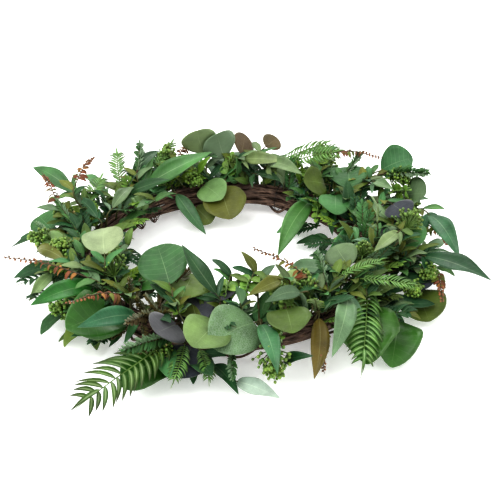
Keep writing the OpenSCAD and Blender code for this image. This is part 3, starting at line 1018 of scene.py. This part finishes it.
@dataclass
class SprigMaker:
    """Berry heads, rust sprigs and baby eucalyptus of one sector."""

    # Berries of a head, their reach over the head's width, and the share of pale ones
    BERRIES: ClassVar[int] = 96
    SPREAD: ClassVar[float] = 0.675
    RIPE: ClassVar[float] = 0.015
    # Leaves and buds of a rust sprig, and pairs of leaves of a baby sprig
    RUST_LEAVES: ClassVar[int] = 14
    BUDS: ClassVar[int] = 14
    PAIRS: ClassVar[int] = 6

    sector: str
    berry: Materials
    rust: Materials
    baby: Materials

    def berries(self, places: list[Placement]) -> bpy.types.Object:
        """Heads of small seed berries on forked stalks."""
        piece = Foliage(f"berry_heads_{self.sector}", "berry", self.berry)
        for place in places:
            rng, frame_of, length = piece.rng, place.matrix(), place.length
            piece.stem([frame_of @ Vector((length * t, 0.0, 0.0)) for t in (0.0, 0.4, 0.8)],
                       1.0 * MM, 0.5 * MM)
            for i in range(self.BERRIES):
                share = (i + 0.5) / self.BERRIES
                side = GOLDEN_ANGLE * i
                start = Vector((length * (0.28 + 0.45 * share), 0.0, 0.0))
                lean = math.radians(62.0 - 50.0 * share + rng.uniform(-12.0, 12.0))
                reach = min(length * 0.50, place.width * self.SPREAD) * rng.uniform(0.55, 1.0)
                reach *= 1.0 - 0.15 * share
                across = Vector((0.0, math.cos(side), math.sin(side)))
                way = across * math.sin(lean) + Vector((math.cos(lean), 0.0, 0.0))
                end = start + way * reach
                middle = start + way * reach * 0.5 + across * reach * 0.06
                shade = (Shade.CREAM if rng.random() < self.RIPE else Shade.SEED).vary(rng, 0.25)
                line = [frame_of @ p for p in (start, middle, end)]
                piece.stem(line, 0.40 * MM, 0.30 * MM)
                piece.berry(line[2], (line[2] - line[1]).normalized(), rng.uniform(1.2, 2.1) * MM, shade)
        return piece.finish(f"berries_{self.sector}")

    def rust_sprigs(self, places: list[Placement]) -> bpy.types.Object:
        """Thin curled stems with rust leaves hanging near the base and buds near the tip."""
        piece = Foliage(f"rust_leaves_{self.sector}", "rust_bud", self.rust)
        shape = BladeShape(0.8, 0.65, arch=0.15, fold=0.5, droop=0.1, columns=7, across=4,
                           thick=0.4 * MM)
        for place in places:
            rng, frame_of, length = piece.rng, place.matrix(), place.length

            def stem_at(t: float) -> Vector:
                """Point of the stem, which bows up and curls over at its tip."""
                return Vector((length * (t - 0.10 * max(t - 0.8, 0.0)), 0.0,
                               7.0 * MM * math.sin(math.pi * t) + 60.0 * MM * max(t - 0.75, 0.0) ** 2))

            piece.stem([frame_of @ stem_at(i / 16) for i in range(17)], 0.8 * MM, 0.3 * MM)
            for i in range(self.RUST_LEAVES):
                t = 0.14 + 0.46 * i / self.RUST_LEAVES
                side = 1.0 if i % 2 == 0 else -1.0
                turn = (spin(side * rng.uniform(0.7, 1.5), "Z")
                        @ spin(rng.uniform(0.1, 0.9), "Y")
                        @ spin(rng.uniform(-0.6, 0.6), "X"))
                shade = rng.choice((Shade.RUST, Shade.RUST, Shade.AMBER, Shade.OLIVE)).vary(rng, 0.25)
                size = rng.uniform(9.0, 13.0) * MM * (1.15 - t)
                at = Matrix.Translation(stem_at(t))
                piece.blade(frame_of @ at @ turn, size, size * 0.44, shape, shade)
            for i in range(self.BUDS):
                t = 0.55 + 0.38 * i / self.BUDS
                side = 1.0 if i % 2 == 0 else -1.0
                way = Vector((0.5, side * rng.uniform(0.5, 1.0), rng.uniform(-0.9, 0.4))).normalized()
                end = stem_at(t) + way * (3.4 - 1.6 * t) * MM
                piece.stem([frame_of @ stem_at(t), frame_of @ end], 0.35 * MM, 0.3 * MM)
                piece.berry(frame_of @ end, frame_of.to_3x3() @ way, (2.0 - 1.0 * t) * MM,
                            Shade.RUST.vary(rng, 0.3))
        return piece.finish(f"rust_sprigs_{self.sector}")

    def baby_sprigs(self, places: list[Placement]) -> bpy.types.Object:
        """Stems with pairs of small round cupped leaves."""
        piece = Foliage(f"baby_leaves_{self.sector}", "baby_leaf", self.baby)
        shape = BladeShape(0.95, 0.55, arch=0.05, fold=0.35, twist=0.1, columns=8, across=4)
        for place in places:
            rng, frame_of, length = piece.rng, place.matrix(), place.length
            piece.stem([frame_of @ Vector((length * t, 0.0, 0.0)) for t in (0.0, 0.5, 0.97)],
                       0.9 * MM, 0.4 * MM)
            for i in range(self.PAIRS):
                t = 0.22 + 0.72 * i / self.PAIRS
                size = (13.0 - 5.0 * i / self.PAIRS) * MM
                for side in (-1.0, 1.0):
                    at = slide(length * t)
                    turn = (spin(math.pi / 2.0 * (i % 2), "X")
                            @ spin(side * rng.uniform(0.8, 1.2), "Z")
                            @ spin(rng.uniform(-0.3, 0.1), "Y"))
                    piece.blade(frame_of @ at @ turn, size, size * 0.85, shape,
                                Shade.SPROUT.vary(rng, 0.15))
            piece.blade(frame_of @ slide(length * 0.93), 8.0 * MM, 6.0 * MM, shape,
                        Shade.SPROUT.vary(rng, 0.1))
        return piece.finish(f"baby_eucalyptus_{self.sector}")


@dataclass
class StemWires:
    """Covered wires that lead from between the vines to each leaf and sprig."""

    ring: Ring
    materials: Materials

    def build(self, wire_set: str, places: list[Placement]) -> bpy.types.Object:
        """Makes the wires of one set of sectors.

        Args:
            wire_set: Name of the set, as in the CAD node's name.
            places: The leaves and sprigs that the wires hold.

        Returns:
            The finished piece.
        """
        node = f"stem_wires_{wire_set}"
        piece = Foliage(node + "_curved", "stem_coat", self.materials)
        for place in places:
            angle = math.radians(place.clock)
            middle = self.ring.at(angle)
            away = place.base - middle
            far = away.length
            if far < self.ring.bundle:
                continue
            root = middle + away.normalized() * self.ring.bundle * 0.8
            pull = (far - self.ring.bundle * 0.8) * 0.4
            along = (place.tip - place.base).normalized()
            line = hermite(root, away.normalized() * pull, place.base, along * pull, 8)
            piece.stem(line, 1.2 * MM, 0.9 * MM)
            if far > LEAFY_WIRE and not is_bare(place.base):
                self.wire_leaves(piece, line)
        return piece.finish(node)

    @staticmethod
    def wire_leaves(piece: Foliage, line: list[Vector]) -> None:
        """Adds small leaves along a long wire, to one side and the other in turn."""
        rng = piece.rng
        for i in range(3, len(line) - 1):
            along = (line[i + 1] - line[i]).normalized()
            side = rng.uniform(-0.6, 0.6) + (math.pi if i % 2 else 0.0)
            across = along.cross(UP).normalized()
            way = (along * 0.7 + across * math.cos(side) + UP * 0.5 * math.sin(side)).normalized()
            normal = (UP - way * UP.dot(way)).normalized()
            length = rng.uniform(18.0, 30.0) * MM
            place = Placement(line[i], line[i] + way * length, normal, length * 0.4)
            shade = rng.choice((Shade.DEEP, Shade.MID, Shade.MOSS, Shade.SMOKE, Shade.OLIVE))
            piece.blade(place.matrix(), length, place.width, UNDER.shape, shade.vary(rng, 0.2))


WILLOW = LeafKind(
    "willow", "willow_leaf",
    BladeShape(0.8, 0.9, arch=0.09, fold=0.32, ripple=0.10, sway=0.05, droop=0.04, twist=0.4, columns=18),
    (Shade.MID, Shade.DEEP, Shade.TEAL),
    {Shade.MID: (10, 38, 34, 46, 130, 156), Shade.PALE: (354, 352, 74, 86, 192),
     Shade.GREY: (5, 0, 358, 30, 152, 160, 180, 316, 322),
     Shade.TEAL: (12, 60, 118, 166, 235, 240, 282),
     Shade.DEEP: (350, 80, 134, 138, 212, 220, 265, 268, 286), Shade.LIME: (106,),
     Shade.OLIVE: (206, 296), Shade.BRIGHT: (216, 276), Shade.FROST: (272,), Shade.SMOKE: (300,),
     Shade.RUSTY: (304,)}, small_leaves=2, small_scale=0.42, fan=0.75)
DOLLAR = LeafKind(
    "dollar", "dollar_leaf",
    BladeShape(1.0, 0.5, arch=0.08, fold=0.14, ripple=0.03, twist=0.12, columns=16, across=8),
    (Shade.SAGE, Shade.SMOKE, Shade.MOSS),
    {Shade.MID: (352, 38), Shade.MOSS: (346, 44, 252, 292), Shade.SMOKE: (24, 92),
     Shade.VEINED: (36, 32, 172, 248), Shade.SAGE: (100, 104, 268), Shade.GREY: (90,),
     Shade.OLIVE: (95, 110, 260), Shade.LIME: (168,), Shade.BEIGE: (216,), Shade.NETTED: (282,)},
    netted=(282,))
PLUM = LeafKind(
    "plum", "plum_leaf",
    BladeShape(1.0, 0.5, arch=0.02, fold=0.05, ripple=0.0, sway=0.0, twist=0.05, columns=14, across=8),
    (Shade.PLUM, Shade.MAUVE),
    {Shade.ASH: (350,), Shade.MAUVE: (352, 264, 254), Shade.PLUM: (358, 14, 260, 268),
     Shade.UMBER: (86, 78)})
BROAD = LeafKind(
    "broad", "broad_leaf", BladeShape(0.85, 0.6, arch=0.08, fold=0.2, ripple=0.10, columns=14, across=8),
    (Shade.BROAD,), {})
# Under leaves: partly their own dark green, partly painted shade, kept mostly deep under and between the
# leaves
UNDER = LeafKind(
    "under_leaves", "under_leaf",
    BladeShape(0.85, 0.7, arch=0.10, fold=0.2, ripple=0.08, columns=9, across=4),
    (Shade.DEEP, Shade.DEEP, Shade.MOSS, Shade.MID), {}, small_leaves=2, small_scale=0.7, fan=0.6)
FERN = FrondKind(
    "ferns", "fern", 15,
    BladeShape(0.75, 0.75, arch=0.10, fold=0.5, twist=0.3, sway=0.02, columns=8, across=3, thick=0.4 * MM),
    0.95, 0.58, 0.088, 2, Shade.FERN, {252: Shade.BRACKEN}, stop=0.86, tail=0.26, sickle=0.18, curl=0.25)
ROSEMARY = FrondKind(
    "rosemary", "rosemary", 16,
    BladeShape(0.9, 0.5, arch=0.05, fold=0.5, columns=5, across=2, thick=0.5 * MM),
    0.75, 0.60, 0.16, 4, Shade.NEEDLE, {245: Shade.UMBER})
TUFT = FrondKind(
    "under_leaves", "under_leaf", 8,
    BladeShape(0.85, 0.75, arch=0.10, fold=0.4, columns=6, across=2, thick=0.4 * MM),
    0.85, 0.85, 0.26, 2, Shade.DEEP, {}, sickle=0.1, tail=0.2, stop=0.85)
HEATHER = FrondKind(
    "under_leaves", "under_leaf", 13,
    BladeShape(0.9, 0.6, arch=0.05, fold=0.4, columns=4, across=2, thick=0.4 * MM),
    0.6, 0.55, 0.16, 3, Shade.HEATH, {}, tail=0.08)
# Colours of the filling tufts, the darker ones more often: their own green, weighted dark as painted shade
# in the gaps between the leaves
FILLER_SHADES = (Shade.DEEP, Shade.DEEP, Shade.DEEP, Shade.MID, Shade.MID, Shade.MOSS, Shade.LIME,
                 Shade.SPROUT)


class Finishes:
    """Every material of the wreath."""

    def __init__(self) -> None:
        """Builds the shared groups, then the materials."""
        self.groups = {"veins": leaf_vein_group(), "mottle": mottle_group()}
        self.bark = BarkFinish("vine_bark", (0.024, 0.012, 0.009), (0.330, 0.215, 0.155)).build()
        self.wrap_bark = BarkFinish("wrap_bark", (0.040, 0.020, 0.013), (0.260, 0.160, 0.110), 0.02).build()
        self.wire = StemFinish("tie_wire", (0.030, 0.028, 0.025), (0.06, 0.055, 0.05), 0.45, 0.8).build()
        coat = StemFinish("stem_coat", (0.060, 0.080, 0.025), (0.11, 0.09, 0.035)).build()
        brown = StemFinish("brown_coat", (0.090, 0.050, 0.022), (0.055, 0.035, 0.018)).build()
        self.willow = self.pair("willow", coat, roughness=0.42, veins=15.0, slant=3.0, rib=0.035)
        self.dollar = self.pair("dollar", coat, roughness=0.52, veins=8.0, slant=1.6, rib=0.014)
        self.plum = self.pair("plum", brown, roughness=0.8, veins=8.0, slant=1.6, sheen=0.3, rib=0.012)
        self.broad = self.pair("broad", coat, roughness=0.36, veins=9.0, slant=2.0, rib=0.018)
        self.under = self.pair("under", coat, roughness=0.6, veins=11.0, slant=2.4)
        self.rosemary = self.pair("rosemary", brown, roughness=0.55, veins=1.0)
        stalk = StemFinish("seed_stalk", (0.130, 0.220, 0.050), (0.090, 0.150, 0.035), 0.55).build()
        self.berry = self.pair("berry", stalk, roughness=0.42)
        self.fern = self.pair("fern", stalk, roughness=0.5, veins=1.0, vein_light=0.6, rib=0.30,
                              tip_dark=0.7)
        self.rust = self.pair("rust", brown, roughness=0.55, veins=7.0)
        self.baby = self.pair("baby", coat, roughness=0.5, veins=6.0, slant=1.6)

    def pair(self, name: str, stem: bpy.types.Material, **looks: float) -> Materials:
        """Upper side, underside and stem materials of one family."""
        top = LeafFinish(name + "_top", **looks).build(self.groups)
        under = LeafFinish(name + "_underside", paler=0.35, **looks).build(self.groups)
        return top, under, stem


@dataclass(frozen=True)
class Studio:
    """Plain pale floor, soft lights and the camera."""

    target: Vector = Vector((0.0255, 0.0535, 0.0))
    distance: float = 1.4
    elevation: float = 31.5
    lens: float = 83.2

    def build(self) -> None:
        """Makes the whole stage."""
        self.floor()
        self.world()
        self.lamp("key_light", Vector((-0.9, -0.5, 1.6)), 1.7, 22.0)
        self.lamp("fill_light", Vector((1.1, -0.9, 1.2)), 1.6, 5.0)
        self.lamp("back_light", Vector((0.2, 1.4, 1.3)), 1.2, 8.5)
        self.camera()

    def floor(self) -> None:
        """A wide plain floor."""
        mesh = bpy.data.meshes.new("floor")
        bm = bmesh.new()
        bmesh.ops.create_grid(bm, x_segments=1, y_segments=1, size=6.0)
        bm.to_mesh(mesh)
        bm.free()
        floor = bpy.data.objects.new("floor", mesh)
        bpy.context.collection.objects.link(floor)
        paint, _, shader = blank_material("floor_paint")
        looks = {"Base Color": (0.97, 0.97, 0.97, 1.0), "Roughness": 0.9,
                 "Emission Color": (1.0, 1.0, 1.0, 1.0), "Emission Strength": 0.22}
        for name, value in looks.items():
            shader.inputs[name].default_value = value
        mesh.materials.append(paint)

    def world(self) -> None:
        """Even white surroundings."""
        world = bpy.data.worlds.new("studio")
        world.use_nodes = True
        back = world.node_tree.nodes["Background"]
        back.inputs["Color"].default_value = (1.0, 1.0, 1.0, 1.0)
        back.inputs["Strength"].default_value = 0.80
        bpy.context.scene.world = world
        settings = bpy.context.scene.view_settings
        settings.view_transform = "Standard"
        settings.look = "High Contrast"

    def lamp(self, name: str, place: Vector, size: float, power: float) -> None:
        """A square soft light that looks at the wreath."""
        light = bpy.data.lights.new(name, "AREA")
        light.size = size
        light.energy = power
        lamp = bpy.data.objects.new(name, light)
        lamp.matrix_world = looking(place, -place)
        bpy.context.collection.objects.link(lamp)

    def camera(self) -> None:
        """The camera, looking along +Y from above the front."""
        lift = math.radians(self.elevation)
        back = Vector((0.0, -math.cos(lift), math.sin(lift)))
        place = self.target + back * self.distance
        view = bpy.data.cameras.new("camera")
        view.lens = self.lens
        view.sensor_width = 36.0
        camera = bpy.data.objects.new("camera", view)
        camera.matrix_world = looking(place, -back)
        bpy.context.collection.objects.link(camera)
        bpy.context.scene.camera = camera


class Wreath:
    """The whole object: reads the frame, then builds each family in each sector."""

    def __init__(self) -> None:
        """Reads the ring and prepares the materials."""
        self.reader = FrameReader()
        self.ring = Ring.read(self.reader)
        self.finishes = Finishes()
        self.held: dict[str, list[Placement]] = {sector: [] for sector in SECTORS}

    def build(self) -> None:
        """Builds the ring, the leaves, the sprigs and then the wires that hold them."""
        self.vines()
        for sector in SECTORS:
            self.leaves(sector)
            self.fronds(sector)
            self.sprigs(sector)
        wires = StemWires(self.ring, self.finishes.under)
        for i, wire_set in enumerate(("right", "left", "front")):
            pair = SECTORS[2 * i:2 * i + 2]
            wires.build(wire_set, [place for sector in pair for place in self.held[sector]])

    def vines(self) -> None:
        """Builds the vine ring and finishes the wire ties kept from the frame."""
        ring = VineRing(self.ring, self.finishes.bark, self.finishes.wrap_bark)
        ring.vines()
        ring.wrap()
        ring.tendrils(self.reader)
        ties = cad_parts["tie_wires"]
        ties.data.materials.clear()
        ties.data.materials.append(self.finishes.wire)

    def leaves(self, sector: str) -> None:
        """Builds the single leaves of one sector."""
        looks = self.finishes
        families = ((WILLOW, looks.willow), (DOLLAR, looks.dollar), (PLUM, looks.plum),
                    (BROAD, looks.broad))
        for kind, materials in families:
            node = f"{kind.name}_{sector}"
            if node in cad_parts:
                places = self.reader.plates(node)
                LeafSpray(kind, sector, materials).build(places)
                self.held[sector] += places
        self.under_leaves(sector)

    def under_leaves(self, sector: str) -> None:
        """Builds the dark lower greenery: bunches of leaves and small tufts in turn."""
        node = f"under_leaves_{sector}"
        piece = Foliage(node + "_bunches", "under_leaf", self.finishes.under)
        bunch = LeafSpray(UNDER, sector, self.finishes.under)
        tuft = FrondSpray(TUFT, sector, self.finishes.under)
        heather = FrondSpray(HEATHER, sector, self.finishes.under)
        for i, place in enumerate(self.reader.plates(node)):
            if i % 2:
                tuft.frond(piece, place)
            else:
                bunch.leaf(piece, place)
        for place in self.gaps(SECTORS.index(sector), piece.rng):
            draw = piece.rng.random()
            if HEATHER_SPAN[0] < place.clock < HEATHER_SPAN[1]:
                heather.frond(piece, place)
            elif draw < TUFT_SHARE:
                tuft.frond(piece, place, piece.rng.choice(FILLER_SHADES))
            else:
                bunch.leaf(piece, place)
        piece.finish(node)

    def gaps(self, sector: int, rng: random.Random) -> list[Placement]:
        """Places for small greenery that fills the gaps on top of and outside the bundle.

        Args:
            sector: Number of the sector, whose middle is at sixty degrees for each.
            rng: The piece's random numbers.

        Returns:
            Sprigs that leave the bundle's surface, except where the vines stay bare.
        """
        found = []
        for i in range(FILLER_ROWS):
            middle = SECTOR_SPAN * (sector - 0.5 + i / FILLER_ROWS)
            clock = math.radians(middle + rng.uniform(-1.5, 1.5))
            for slope in FILLER_SLOPES:
                side = math.radians(slope + rng.uniform(-18.0, 18.0))
                out, up = math.cos(side), math.sin(side)
                if OPEN_SPAN[0] < math.degrees(clock) < OPEN_SPAN[1] and slope < 120.0:
                    continue
                surface = self.ring.bundle * 0.9
                base = self.ring.at(clock, out * surface, up * surface)
                if is_bare(base + base.normalized() * (5.0 if sector < 3 else -5.0) * MM):
                    continue
                ray = Vector((math.cos(clock), math.sin(clock), 0.0))
                way = ray * out + UP * (0.55 * up + 0.1) + UP.cross(ray) * rng.uniform(-1.1, 1.1)
                way.normalize()
                length = rng.uniform(32.0, 50.0) * MM
                normal = (UP - way * UP.dot(way)).normalized()
                found.append(Placement(base, base + way * length, normal, length * 0.34))
        return found

    def fronds(self, sector: str) -> None:
        """Builds the fern and rosemary of one sector."""
        for kind, materials in ((FERN, self.finishes.fern), (ROSEMARY, self.finishes.rosemary)):
            node = f"{kind.name}_{sector}"
            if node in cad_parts:
                places = self.reader.plates(node)
                FrondSpray(kind, sector, materials).build(places)
                self.held[sector] += places

    def sprigs(self, sector: str) -> None:
        """Builds the berries, rust sprigs and baby eucalyptus of one sector."""
        looks = self.finishes
        maker = SprigMaker(sector, looks.berry, looks.rust, looks.baby)
        for name, make in (("berries", maker.berries), ("rust_sprigs", maker.rust_sprigs),
                           ("baby_eucalyptus", maker.baby_sprigs)):
            places = self.reader.sprigs(f"{name}_{sector}")
            make(places)
            self.held[sector] += places


def main() -> None:
    """Builds the wreath and the studio, with logging set up for the face counts of the pieces."""
    logging.basicConfig(level=logging.INFO, format="%(name)s: %(message)s")
    Wreath().build()
    Studio().build()


if __name__ == "__main__":
    main()
